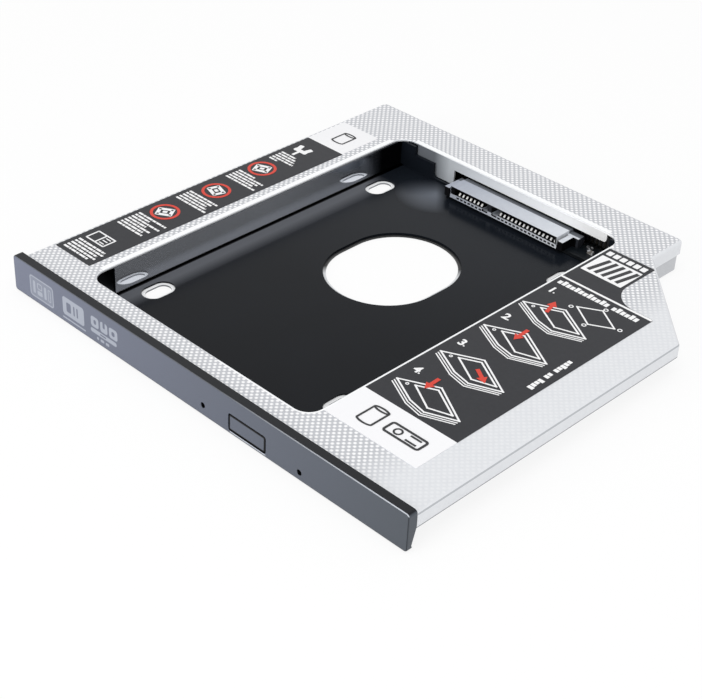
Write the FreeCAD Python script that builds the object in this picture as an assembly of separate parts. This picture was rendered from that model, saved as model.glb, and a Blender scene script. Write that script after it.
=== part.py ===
import FreeCAD, Part
import math
import os

from FreeCAD import Vector

os.makedirs("parts", exist_ok=True)

# Slim bay caddy: it takes the place of a 9.5 mm optical drive in a laptop and holds one 2.5 inch drive.
# X runs along the bezel, Y from the bezel to the rear, Z up. The origin is under the middle of the whole.

# Overall sizes
bezel_width = 128.0
bezel_depth = 2.4
bezel_height = 9.5
body_depth = 124.6
body_height = 8.6
body_setback = 0.8  # the body starts this far inside the bezel's left end
block_width = 101.3  # full-height block, and width of the body at the rear
notch_length = 12.7  # the block's side behind the slanted edge
wing_height = 3.6

# Sheets, walls and clearances
cover_sheet = 0.5
shell_sheet = 0.4
tray_floor = 0.45
tray_wall = 0.8
sheet_gap = 0.1
cover_bend = 0.8
corner_radius = 1.4
shell_bend = 0.45

# 2.5 inch drive and where it lies
drive_width = 69.85
drive_centre_share = 0.537  # of the block's width, from its left side
drive_end_margin = 13.0  # from the drive's connector end to the rear edge
drive_hole_span_x = 61.72
drive_hole_span_y = 76.6

# Window in the top cover
window_side_room = 1.58  # beside the drive, on each side
window_front_band = 6.0
window_rear_band = 11.6
window_radius = 4.0
window_lip = 0.25

# Flap folded down from the window's rear edge, with the cut-out over the drive socket
flap_left = -31.2  # from the drive's centre line
flap_right = 32.2
flap_leg_right = -17.9
flap_leg_drop = 7.1
flap_strip_drop = 2.8
flap_strip_round = 0.9

# Openings in the floor
slot_width = 4.0
slot_length = 7.0
tray_slot_margin = 0.9
slot_row_from_end = 13.3  # rear pair of slots, from the drive's connector end
floor_hole_width = 28.6
floor_hole_length = 34.4
floor_hole_offset = -0.4  # from the drive's centre line
floor_hole_from_end = 40.7
tray_hole_margin = 0.75

# Tray walls
tray_wall_room = 1.2  # beside the drive, on each side
corner_pocket = 7.0  # open corner in front of the tray's left wall
tray_step_drop = 2.5
tray_step_right = -24.4  # from the drive's centre line
tray_gate_left = -16.7
tray_gate_right = 33.8
tray_gate_sill = 1.5
tray_gate_radius = 1.5
tray_groove_width = 0.6  # along the foot of the left wall
tray_groove_depth = 0.22
rib_count = 3

# Drive socket: 7 signal and 15 power contacts on one pitch
contact_pitch = 1.27
signal_count = 7
power_count = 15
socket_gap_pitches = 5  # from the last signal contact to the first power contact
socket_offset = 4.8  # from the drive's centre line to the middle of the contact row
socket_nose = 4.6  # the socket reaches this far into the end of the drive
socket_length = 6.6
socket_side_left = 2.6
socket_side_right = 1.0
socket_roof = 0.35
socket_top = 3.3  # above the board
socket_slot_height = 1.85
socket_lip = 1.1
socket_lip_margin = 0.28
socket_step_depth = 1.6
socket_step_drop = 0.15
socket_key_width = 1.3
socket_key_room = 1.9
socket_arm_gap = 0.45
socket_arm_width = 1.5
socket_arm_height = 2.5
socket_ear_width = 3.1
socket_ear_depth = 2.4
contact_width = 0.5
contact_thickness = 0.2
contact_slack = 0.06
contact_tail = 0.9
contact_rise = 0.7
socket_tip_setback = 0.6
lock_thickness = 0.3
lock_height = 2.0
lock_foot = 0.75

# Adapter board
board_thickness = 0.8
board_lift = 0.15
board_left_offset = -16.0  # from the drive's centre line
board_right_margin = 2.1
board_rear_margin = 2.1
board_under_nose = 1.2

# Laptop side plug: 7 signal and 6 power contacts
plug_from_block = 15.5  # from the block's right side to the plug's middle
plug_signal_count = 7
plug_power_count = 6
plug_power_pitch = 1.0
plug_signal_start = -9.2
plug_power_start = 2.8
plug_width = 24.6
plug_height = 3.6
plug_length = 7.4
plug_mouth_width = 22.4
plug_mouth_height = 2.5
plug_mouth_depth = 4.6
tongue_thickness = 1.2
tongue_side = 0.9

# Chip parts: distance from the board's left edge, from its rear edge, and whether the length lies along x
chip_length = 1.6
chip_width = 0.8
capacitor_height = 0.8
resistor_height = 0.45
capacitor_spots = [(45.1, 11.0, True), (1.4, 5.4, False), (10.8, 2.6, False), (13.2, 2.6, False)]
resistor_spots = [(47.6, 10.8, False), (43.4, 9.0, True), (18.8, 2.6, True), (21.4, 2.6, True), (24.0, 2.6, True)]

# Screws
tray_screw_head = 1.8
tray_screw_head_depth = 1.0
tray_screw_shank = 0.95
tray_screw_length = 4.5
tray_screw_side = 5.2  # from the block's sides
tray_screw_front = 12.1
tray_screw_rear = 23.5
tray_boss_radius = 2.2
board_screw_head = 1.6
board_screw_head_height = 0.8
board_screw_shank = 0.75
board_screw_side = 4.3
board_screw_span = 26.5
board_screw_rear = 3.8
screw_slack = 0.05
recess_width = 0.35

# Rear screw holes for the laptop's fixing bracket
bracket_hole_radius = 0.8
bracket_hole_depth = 1.2
bracket_collar_radius = 1.5
bracket_hole_z = 3.6
bracket_hole_side = 7.2
bracket_hole_span = 14.0

# Front bezel and eject button
bezel_wall = 1.3
bezel_edge = 0.35
bezel_end_round = 0.8
bezel_gap = 0.1
bezel_rib = 1.0
bezel_taper = 1.2
bezel_taper_end = 0.8
bezel_foot = 0.3
button_from_right = 45.85
button_centre_z = 3.1
button_width = 11.1
button_height = 3.9
button_gap = 0.3
button_corner = 0.7
button_travel = 0.7
button_flange = 0.7
button_flange_thickness = 0.6
button_arm_reach = 9.2
button_arm_height = 1.2
button_eye_radius = 1.3
post_radius = 0.6
post_slack = 0.12
light_hole_offset = -13.95  # from the button's middle
light_hole_z = 2.75
light_hole_radius = 0.7
pin_hole_offset = 15.85
pin_hole_z = 2.1
pin_hole_radius = 0.7
clip_side = 7.2
clip_offset = -3.2  # from the drive's centre line
wing_clip_share = 0.61  # of the wing's width
clip_width = 4.0
clip_thickness = 1.0
clip_length = 3.4
clip_clearance = 0.25

# Printed labels on the cover
label_film = 0.1
label_corner = 0.3
left_label_margin = 1.1
left_label_width = 13.0
left_label_front = 8.7
left_label_rear = 17.7
right_label_inner = 0.7  # from the window
right_label_outer = 9.6  # from the wing's side
right_label_front = 10.0
right_label_slant_room = 6.5  # from the slanted edge, along y
right_label_tab_share = 0.51  # of the label's width
right_label_tab_room = 0.9
right_label_round_share = 0.29

# Places that follow from the sizes
front_y = -(bezel_depth + body_depth) / 2
bezel_rear = front_y + bezel_depth
rear_y = bezel_rear + body_depth
cover_left = body_setback - bezel_width / 2
cover_right = bezel_width / 2
block_right = cover_left + block_width
wing_width = cover_right - block_right
notch_sum = block_right + rear_y - notch_length
wing_floor = body_height - wing_height
cover_underside = body_height - cover_sheet
body_front = bezel_rear + bezel_gap
shell_inset = cover_sheet + sheet_gap
shell_top = cover_underside - sheet_gap
tray_inset = shell_inset + shell_sheet + sheet_gap
tray_base = shell_sheet
tray_top = tray_base + tray_floor
drive_centre_x = cover_left + block_width * drive_centre_share
drive_end_y = rear_y - drive_end_margin
window_left = drive_centre_x - drive_width / 2 - window_side_room
window_right = drive_centre_x + drive_width / 2 + window_side_room
window_front = bezel_rear + window_front_band
window_rear = rear_y - window_rear_band
well_left = drive_centre_x - drive_width / 2 - tray_wall_room
well_right = drive_centre_x + drive_width / 2 + tray_wall_room
well_rear = drive_end_y + 3 * sheet_gap
well_front = window_front
gate_right = drive_centre_x + tray_gate_right
board_bottom = tray_top + board_lift
board_top = board_bottom + board_thickness
socket_front = drive_end_y - socket_nose
socket_rear = socket_front + socket_length
contact_steps = signal_count - 1 + socket_gap_pitches + power_count - 1
first_contact_x = drive_centre_x + socket_offset - contact_steps * contact_pitch / 2
last_signal_x = first_contact_x + (signal_count - 1) * contact_pitch
first_power_x = last_signal_x + socket_gap_pitches * contact_pitch
last_power_x = first_power_x + (power_count - 1) * contact_pitch
socket_left = first_contact_x - socket_side_left
socket_right = last_power_x + socket_side_right
socket_slot_bottom = board_top + socket_lip
board_left = drive_centre_x + board_left_offset
board_right = block_right - board_right_margin
board_front = socket_front + board_under_nose
board_rear = rear_y - board_rear_margin
plug_centre_x = block_right - plug_from_block
plug_mouth_y = rear_y - shell_inset
plug_front = plug_mouth_y - plug_length
button_centre_x = bezel_width / 2 - button_from_right
light_hole_x = button_centre_x + light_hole_offset
pin_hole_x = button_centre_x + pin_hole_offset
clip_places = [cover_left + clip_side, drive_centre_x + clip_offset]
wing_clip_x = block_right + wing_width * wing_clip_share
wing_clip_width = wing_width * (1 - wing_clip_share) / 2.5
bracket_hole_places = [cover_left + bracket_hole_side, cover_left + bracket_hole_side + bracket_hole_span]
tray_screw_columns = [cover_left + tray_screw_side, block_right - tray_screw_side]
tray_screw_rows = [bezel_rear + tray_screw_front, rear_y - tray_screw_rear]
tray_screw_places = [(x, y) for x in tray_screw_columns for y in tray_screw_rows]
board_screw_first = board_left + board_screw_side
board_screw_places = [(board_screw_first + step, board_rear - board_screw_rear) for step in (0, board_screw_span)]
eps = 0.02


def box(x0, x1, y0, y1, z0, z1):
    return Part.makeBox(x1 - x0, y1 - y0, z1 - z0, Vector(x0, y0, z0))


def prism(points, z0, z1):
    wire = Part.makePolygon([Vector(x, y, z0) for x, y in points + points[:1]])
    return Part.Face(wire).extrude(Vector(0, 0, z1 - z0))


def side_profile(points, x0, x1):
    wire = Part.makePolygon([Vector(x0, y, z) for y, z in points + points[:1]])
    return Part.Face(wire).extrude(Vector(x1 - x0, 0, 0))


def cylinder_y(x, z, radius, y0, y1):
    return Part.makeCylinder(radius, y1 - y0, Vector(x, y0, z), Vector(0, 1, 0))


def cylinder_z(x, y, radius, z0, z1):
    return Part.makeCylinder(radius, z1 - z0, Vector(x, y, z0))


def straight_edges(shape, direction, accept):
    found = []
    for edge in shape.Edges:
        along = edge.tangentAt(edge.FirstParameter)
        if edge.Curve.TypeId == "Part::GeomLine" and abs(along.dot(direction)) > 0.999 and accept(edge):
            found.append(edge)
    return found


def rounded_box(x0, x1, y0, y1, z0, z1, radius):
    block = box(x0, x1, y0, y1, z0, z1)
    return block.makeFillet(radius, straight_edges(block, Vector(0, 0, 1), lambda edge: True))


def rounded_block_y(x0, x1, z0, z1, y0, y1, radius):
    block = box(x0, x1, y0, y1, z0, z1)
    return block.makeFillet(radius, straight_edges(block, Vector(0, 1, 0), lambda edge: True))


def obround(x, y, width, length, z0, z1):
    radius = width / 2
    half = length / 2 - radius
    ends = [cylinder_z(x, y + side * half, radius, z0, z1) for side in (-1, 1)]
    middle = box(x - radius, x + radius, y - half, y + half, z0, z1)
    return middle.fuse(ends).removeSplitter()


def body_outline(inset, front):
    left = cover_left + inset
    right = cover_right - inset
    block = block_right - inset
    rear = rear_y - inset
    slant = notch_sum - inset * math.sqrt(2)
    corners = [(left, front), (right, front), (right, slant - right)]
    return corners + [(block, slant - block), (block, rear), (left, rear)]


def block_outline(inset, front):
    left = cover_left + inset
    right = block_right - inset
    rear = rear_y - inset
    return [(left, front), (right, front), (right, rear), (left, rear)]


def round_upright_corners(shape, radius, places):
    def at_place(edge):
        point = edge.Vertexes[0].Point
        return any(math.hypot(point.x - x, point.y - y) < 0.05 for x, y in places)

    return shape.makeFillet(radius, straight_edges(shape, Vector(0, 0, 1), at_place))


def round_rim(shape, z, radius, front):
    def on_rim(edge):
        points = [edge.valueAt(edge.FirstParameter), edge.valueAt(edge.LastParameter)]
        flat = all(abs(point.z - z) < 0.001 for point in points)
        at_front = all(abs(point.y - front) < 0.001 for point in points)
        return flat and not at_front

    return shape.makeFillet(radius, [edge for edge in shape.Edges if on_rim(edge)])


def drive_slots(width, length, z0, z1):
    rear_row = drive_end_y - slot_row_from_end
    slots = []
    for side in (-1, 1):
        for row in (rear_row, rear_row - drive_hole_span_y):
            slots.append(obround(drive_centre_x + side * drive_hole_span_x / 2, row, width, length, z0, z1))
    return slots


def floor_hole(margin, z0, z1):
    width = floor_hole_width + 2 * margin
    length = floor_hole_length + 2 * margin
    return obround(drive_centre_x + floor_hole_offset, drive_end_y - floor_hole_from_end, width, length, z0, z1)


# Upper shell: stamped sheet with folded rims, the drive window and the flap over the socket
def make_top_cover():
    outline = body_outline(0, body_front)
    outside = prism(outline, wing_floor, body_height)
    outside = round_upright_corners(outside, corner_radius, [outline[2], outline[4], outline[5]])
    outside = round_rim(outside, body_height, cover_bend, body_front)
    inner = body_outline(cover_sheet, body_front - cover_sheet)
    inside = prism(inner, wing_floor - cover_sheet, cover_underside)
    inside = round_upright_corners(inside, corner_radius - cover_sheet, [inner[2], inner[4], inner[5]])
    inside = round_rim(inside, cover_underside, cover_bend - cover_sheet, body_front - cover_sheet)
    cover = outside.cut(inside)
    window = rounded_box(window_left, window_right, window_front, window_rear, 0, bezel_height, window_radius)
    cover = cover.cut(window)
    cover = cover.makeFillet(window_lip, window_edges(cover))
    leg_bottom = body_height - flap_leg_drop
    strip_bottom = body_height - flap_strip_drop
    flap_top = cover_underside + eps
    leg = rounded_block_y(drive_centre_x + flap_left, drive_centre_x + flap_leg_right, leg_bottom, flap_top,
                          window_rear + eps, window_rear + cover_sheet, cover_sheet)
    strip = box(drive_centre_x + flap_left, drive_centre_x + flap_right, window_rear + eps,
                window_rear + cover_sheet, strip_bottom, flap_top)
    corner = straight_edges(strip, Vector(0, 1, 0), lambda edge: edge.BoundBox.ZMax < strip_bottom + eps
                            and edge.BoundBox.XMin > drive_centre_x)
    strip = strip.makeFillet(flap_strip_round, corner)
    plug_notch = box(plug_centre_x - plug_width / 2 - sheet_gap, plug_centre_x + plug_width / 2 + sheet_gap,
                     rear_y - 2 * cover_sheet, rear_y + cover_sheet, 0, board_top + plug_height + sheet_gap)
    return cover.fuse([leg, strip]).cut(plug_notch).removeSplitter()


def window_edges(cover):
    edges = []
    for edge in cover.Edges:
        box_of = edge.BoundBox
        on_top = abs(box_of.ZMin - body_height) < 0.001 and abs(box_of.ZMax - body_height) < 0.001
        inside_x = box_of.XMin > window_left - 0.01 and box_of.XMax < window_right + 0.01
        inside_y = box_of.YMin > window_front - 0.01 and box_of.YMax < window_rear + 0.01
        if on_top and inside_x and inside_y:
            edges.append(edge)
    return edges


# Lower shell: one folded sheet that makes the floor, the walls inside the cover and the wing's underside
def make_lower_shell():
    corner = corner_radius - shell_inset + sheet_gap
    pan_outline = block_outline(shell_inset, body_front)
    pan = prism(pan_outline, 0, shell_top)
    pan = round_upright_corners(pan, corner, pan_outline[2:])
    pan = round_rim(pan, 0, shell_bend, body_front)
    wing_outline = body_outline(shell_inset, body_front)
    wing = prism(wing_outline, wing_floor, shell_top)
    wing = round_upright_corners(wing, corner, [wing_outline[2], wing_outline[4], wing_outline[5]])
    outside = pan.fuse(wing)
    inset = shell_inset + shell_sheet
    pan_inside = prism(block_outline(inset, body_front - shell_sheet), shell_sheet, body_height)
    wing_inside = prism(body_outline(inset, body_front - shell_sheet), wing_floor + shell_sheet, body_height)
    shell = outside.cut(pan_inside).cut(wing_inside)
    shell = shell.cut(drive_slots(slot_width, slot_length, -shell_sheet, tray_base + eps))
    shell = shell.cut(floor_hole(0, -shell_sheet, tray_base + eps))
    for x, y in tray_screw_places:
        shell = shell.cut(tray_screw_seat(x, y, screw_slack))
    for x, y in board_screw_places:
        shell = shell.cut(cylinder_z(x, y, board_screw_shank + screw_slack, -eps, tray_base + eps))
    plug_gate = box(plug_centre_x - plug_width / 2 - sheet_gap, plug_centre_x + plug_width / 2 + sheet_gap,
                    rear_y - inset - eps, rear_y, board_bottom - sheet_gap, board_top + plug_height + sheet_gap)
    shell = shell.cut(plug_gate)
    for x in bracket_hole_places:
        wall_face = rear_y - shell_inset
        collar = cylinder_y(x, bracket_hole_z, bracket_collar_radius, wall_face - bracket_hole_depth, wall_face)
        shell = shell.fuse(collar)
    for x in bracket_hole_places:
        bore_front = rear_y - shell_inset - bracket_hole_depth - eps
        shell = shell.cut(cylinder_y(x, bracket_hole_z, bracket_hole_radius, bore_front, rear_y))
    for x in clip_places:
        shell = shell.cut(clip_window(x, clip_width, -shell_sheet, shell_sheet + eps))
    wing_top = wing_floor + shell_sheet
    shell = shell.cut(clip_window(wing_clip_x, wing_clip_width, wing_floor - shell_sheet, wing_top + eps))
    return shell.removeSplitter()


def clip_window(x, width, z0, z1):
    half = width / 2 + clip_clearance
    hook_front = bezel_rear + clip_length - clip_thickness - clip_clearance
    hook_rear = bezel_rear + clip_length + clip_clearance
    return box(x - half, x + half, hook_front, hook_rear, z0, z1)


def tray_screw_seat(x, y, slack):
    head = tray_screw_head + slack
    shank = tray_screw_shank + slack
    cone = Part.makeCone(head, shank, tray_screw_head_depth, Vector(x, y, 0))
    shank_hole = cylinder_z(x, y, shank, 0, tray_screw_length + slack)
    return cone.fuse(shank_hole)


# Black inner moulding: floor of the drive well, its walls, side ribs and screw bosses
def make_inner_tray():
    front = body_front + sheet_gap
    outline = block_outline(tray_inset, front)
    inner = block_outline(tray_inset + tray_wall, front - tray_wall)
    wall_top = shell_top
    tray = prism(outline, tray_base, wall_top).cut(prism(inner, tray_top, body_height))
    left = outline[0][0]
    right = outline[1][0]
    walls = [
        box(well_left - tray_wall, well_left, well_front + corner_pocket, well_rear + tray_wall, tray_base, wall_top),
        box(well_right, well_right + tray_wall, well_front - tray_wall, well_rear + tray_wall, tray_base, wall_top),
        box(well_left - tray_wall, well_right + tray_wall, well_front - tray_wall, well_front, tray_base, wall_top),
        make_tray_rear_wall(wall_top),
    ]
    pitch = (well_rear - well_front - corner_pocket) / (rib_count + 1)
    for index in range(rib_count):
        rib_y = well_front + corner_pocket + pitch * (index + 1)
        walls.append(box(left, well_left, rib_y - tray_wall / 2, rib_y + tray_wall / 2, tray_base, wall_top))
        walls.append(box(well_right, right, rib_y - tray_wall / 2, rib_y + tray_wall / 2, tray_base, wall_top))
    for x, y in tray_screw_places:
        walls.append(cylinder_z(x, y, tray_boss_radius, tray_base, tray_screw_length + tray_wall))
    tray = tray.fuse(walls)
    tray = tray.cut(box(well_left, well_left + tray_groove_width, well_front + corner_pocket, well_rear,
                        tray_top - tray_groove_depth, tray_top + eps))
    tray = tray.cut(drive_slots(slot_width + 2 * tray_slot_margin, slot_length + 2 * tray_slot_margin,
                                0, tray_top + eps))
    tray = tray.cut(floor_hole(tray_hole_margin, 0, tray_top + eps))
    for x, y in tray_screw_places:
        tray = tray.cut(tray_screw_seat(x, y, screw_slack))
    pads = []
    for x, y in board_screw_places:
        pads.append(cylinder_z(x, y, board_screw_head + tray_wall / 2, tray_top - eps, board_bottom))
    tray = tray.fuse(pads)
    for x, y in board_screw_places:
        tray = tray.cut(cylinder_z(x, y, board_screw_shank + 2 * screw_slack, 0, board_bottom + eps))
    gate_left = plug_centre_x - plug_width / 2 - lock_foot - 2 * sheet_gap
    plug_gate = box(gate_left, right + sheet_gap, plug_front - sheet_gap, rear_y, tray_top, wall_top + sheet_gap)
    tray = tray.cut(plug_gate)
    for x in bracket_hole_places:
        tray = tray.cut(cylinder_y(x, bracket_hole_z, bracket_collar_radius + sheet_gap, board_rear, rear_y))
    for x in clip_places:
        tray = tray.cut(clip_window(x, clip_width, 0, tray_top + eps))
    return tray.removeSplitter()


def make_tray_rear_wall(wall_top):
    rear = well_rear + tray_wall
    wall = box(well_left - tray_wall, well_right + tray_wall, well_rear, rear, tray_base, wall_top)
    step = box(drive_centre_x + flap_left, gate_right, well_rear - eps, rear + eps, wall_top - tray_step_drop,
               wall_top + eps)
    gate = rounded_block_y(drive_centre_x + tray_step_right, gate_right, tray_gate_sill, body_height,
                           well_rear - eps, rear + eps, tray_gate_radius)
    board_gate = box(drive_centre_x + tray_gate_left, gate_right, well_rear - eps, rear + eps, tray_top, wall_top)
    return wall.cut([step, gate, board_gate])


# Drive socket: grey moulding with two keyed slots for the drive's connector blades, and a guide arm at each end
def make_socket_housing():
    top = board_top + socket_top
    slot_bottom = socket_slot_bottom
    slot_top = slot_bottom + socket_slot_height
    step_front = socket_rear - socket_step_depth
    slot_rear = step_front - socket_roof
    key_centre = (last_signal_x + first_power_x) / 2
    key_left = key_centre - socket_key_width / 2
    key_right = key_centre + socket_key_width / 2
    left_arm = socket_left - socket_arm_gap
    right_arm = socket_right + socket_arm_gap
    arm_top = board_top + socket_arm_height
    arm_front = socket_front - sheet_gap
    ear_front = socket_rear - socket_ear_depth
    housing = box(socket_left, socket_right, socket_front, socket_rear, board_top, top)
    housing = housing.fuse([
        box(left_arm - socket_arm_width, right_arm + socket_arm_width, socket_front, socket_rear, board_top,
            slot_bottom - socket_roof),
        box(left_arm - socket_arm_width, left_arm, arm_front, socket_rear, board_top, arm_top),
        box(right_arm, right_arm + socket_arm_width, arm_front, socket_rear, board_top, arm_top),
        box(socket_right - eps, right_arm + socket_ear_width, ear_front, socket_rear, board_top, arm_top),
        box(left_arm - socket_arm_width, socket_left + eps, ear_front, socket_rear, board_top, arm_top),
    ])
    front = socket_front - eps
    foot_bottom = slot_bottom - 2 * socket_roof
    cuts = [
        box(first_contact_x - contact_pitch, key_left, front, slot_rear, slot_bottom, slot_top),
        box(key_right, last_power_x + contact_width, front, slot_rear, slot_bottom, slot_top),
        box(key_left - socket_key_room, key_left, front, slot_rear, foot_bottom, slot_bottom + eps),
        box(key_right, key_right + socket_key_room, front, slot_rear, foot_bottom, slot_bottom + eps),
    ]
    cuts.append(box(socket_left - eps, socket_right + eps, step_front, socket_rear + eps,
                    top - socket_step_drop, top + eps))
    half = contact_width / 2 + contact_slack
    opening = contact_pitch / 3
    for x in socket_contact_places():
        cuts.append(box(x - half, x + half, slot_rear - eps, socket_rear + eps,
                        slot_bottom, slot_bottom + contact_thickness + 2 * contact_slack))
        if not key_left - socket_key_room < x < key_right + socket_key_room:
            cuts.append(box(x - opening, x + opening, front, socket_front + contact_width,
                            board_top + socket_lip_margin, slot_bottom - socket_lip_margin))
    return housing.cut(cuts).removeSplitter()


def socket_contact_places():
    signal = [first_contact_x + index * contact_pitch for index in range(signal_count)]
    power = [first_power_x + index * contact_pitch for index in range(power_count)]
    return signal + power


# One socket contact: a bent strip that rises to its sprung crest, runs along the slot's floor and down to the board
def socket_contact(x):
    floor = socket_slot_bottom + contact_slack
    thick = contact_thickness
    tip = socket_front + socket_tip_setback
    crest = tip + contact_rise
    bend = crest + 2 * contact_rise
    heel = socket_rear + contact_slack
    outline = [
        (tip, floor),
        (tip, floor + thick),
        (crest, floor + contact_rise + thick),
        (bend, floor + thick),
        (heel + thick, floor + thick),
        (heel + thick, board_top + thick),
        (heel + thick + contact_tail, board_top + thick),
        (heel + thick + contact_tail, board_top),
        (heel, board_top),
        (heel, floor),
        (bend, floor),
        (crest, floor + contact_rise),
    ]
    return side_profile(outline, x - contact_width / 2, x + contact_width / 2)


# Metal tabs that hold the socket's ears and the plug's sides down on the board
def make_socket_locks():
    left = socket_left - socket_arm_gap - socket_arm_width
    right = socket_right + socket_arm_gap + socket_ear_width
    locks = []
    for start in (left, right - socket_arm_width):
        rear = socket_rear + contact_slack
        outline = [
            (rear, board_top),
            (rear + lock_foot, board_top),
            (rear + lock_foot, board_top + lock_thickness),
            (rear + lock_thickness, board_top + lock_thickness),
            (rear + lock_thickness, board_top + lock_height),
            (rear, board_top + lock_height),
        ]
        locks.append(side_profile(outline, start, start + socket_arm_width))
    return Part.makeCompound(locks)


def make_plug_locks():
    locks = []
    front = plug_mouth_y - plug_mouth_depth
    for side in (-1, 1):
        face = plug_centre_x + side * (plug_width / 2 + contact_slack)
        outer = face + side * lock_thickness
        foot = face + side * lock_foot
        upright = box(min(face, outer), max(face, outer), front, front + 2 * lock_height, board_top,
                      board_top + lock_height)
        base = box(min(face, foot), max(face, foot), front, front + 2 * lock_height, board_top,
                   board_top + lock_thickness)
        locks.append(upright.fuse(base).removeSplitter())
    return Part.makeCompound(locks)


def make_contact_group(start, pitch, count, maker):
    return Part.makeCompound([maker(start + index * pitch) for index in range(count)])


# Adapter board between the drive socket and the laptop plug
def make_adapter_board():
    wide = box(board_left, board_right, well_rear + tray_wall + sheet_gap, board_rear, board_bottom, board_top)
    tab = box(board_left, gate_right - sheet_gap, board_front, board_rear, board_bottom, board_top)
    board = wide.fuse(tab).removeSplitter()
    for x, y in board_screw_places:
        board = board.cut(cylinder_z(x, y, board_screw_shank + 2 * screw_slack, 0, body_height))
    return board


def chip_parts(spots, height):
    parts = []
    for from_left, from_rear, along_x in spots:
        x = board_left + from_left
        y = board_rear - from_rear
        half_x = (chip_length if along_x else chip_width) / 2
        half_y = (chip_width if along_x else chip_length) / 2
        parts.append(box(x - half_x, x + half_x, y - half_y, y + half_y, board_top, board_top + height))
    return Part.makeCompound(parts)


# Laptop side plug: open mouth to the rear with two contact tongues
def make_plug_housing():
    left = plug_centre_x - plug_width / 2
    right = plug_centre_x + plug_width / 2
    housing = box(left, right, plug_front, plug_mouth_y, board_top, board_top + plug_height)
    mouth_half = plug_mouth_width / 2
    mouth_base = board_top + (plug_height - plug_mouth_height) / 2
    mouth_front = plug_mouth_y - plug_mouth_depth
    mouth = box(plug_centre_x - mouth_half, plug_centre_x + mouth_half, mouth_front, plug_mouth_y + eps,
                mouth_base, mouth_base + plug_mouth_height)
    housing = housing.cut(mouth)
    for start, end in plug_tongues():
        housing = housing.fuse(box(start, end, mouth_front - eps, plug_mouth_y - tongue_side,
                                   tongue_base(), tongue_base() + tongue_thickness))
    slots = []
    for x in plug_contact_places():
        half = contact_width / 2 + contact_slack
        slots.append(box(x - half, x + half, plug_front - eps, plug_mouth_y - 2 * tongue_side,
                         tongue_base() + tongue_thickness - contact_thickness - contact_slack,
                         tongue_base() + tongue_thickness + eps))
    return housing.cut(slots).removeSplitter()


def tongue_base():
    return board_top + (plug_height - tongue_thickness) / 2


def plug_tongues():
    signal_left = plug_centre_x + plug_signal_start - tongue_side
    signal_right = plug_centre_x + plug_signal_start + (plug_signal_count - 1) * contact_pitch + tongue_side
    power_left = plug_centre_x + plug_power_start - tongue_side
    power_right = plug_centre_x + plug_power_start + (plug_power_count - 1) * plug_power_pitch + tongue_side
    return [(signal_left, signal_right), (power_left, power_right)]


def plug_contact_places():
    signal = [plug_centre_x + plug_signal_start + index * contact_pitch for index in range(plug_signal_count)]
    power = [plug_centre_x + plug_power_start + index * plug_power_pitch for index in range(plug_power_count)]
    return signal + power


# One plug contact: a strip let into the tongue, with its tail bent down to the board
def plug_contact(x):
    top = tongue_base() + tongue_thickness
    tip = plug_mouth_y - 2 * tongue_side - contact_slack
    heel = plug_front - contact_slack
    thick = contact_thickness
    outline = [
        (tip, top),
        (tip, top - thick),
        (heel, top - thick),
        (heel, board_top),
        (heel - thick - contact_tail, board_top),
        (heel - thick - contact_tail, board_top + thick),
        (heel - thick, board_top + thick),
        (heel - thick, top),
    ]
    return side_profile(outline, x - contact_width / 2, x + contact_width / 2)


def cross_recess(x, y, z0, z1, radius):
    half = recess_width / 2
    first = box(x - half, x + half, y - radius, y + radius, z0, z1)
    second = box(x - radius, x + radius, y - half, y + half, z0, z1)
    return first.fuse(second)


# Countersunk screws, from below through the lower shell into the tray's bosses
def make_tray_screws():
    screws = []
    for x, y in tray_screw_places:
        screw = tray_screw_seat(x, y, 0)
        screws.append(screw.cut(cross_recess(x, y, -eps, tray_screw_head_depth / 2, tray_screw_shank)))
    return Part.makeCompound(screws)


# Cheese-head screws that hold the adapter board to the lower shell
def make_board_screws():
    screws = []
    for x, y in board_screw_places:
        head = cylinder_z(x, y, board_screw_head, board_top, board_top + board_screw_head_height)
        screw = head.fuse(cylinder_z(x, y, board_screw_shank, 0, board_top))
        head_top = board_top + board_screw_head_height
        recess = cross_recess(x, y, head_top - board_screw_head_height / 2, head_top + eps, board_screw_head / 2)
        screws.append(screw.cut(recess))
    return Part.makeCompound(screws)


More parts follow.
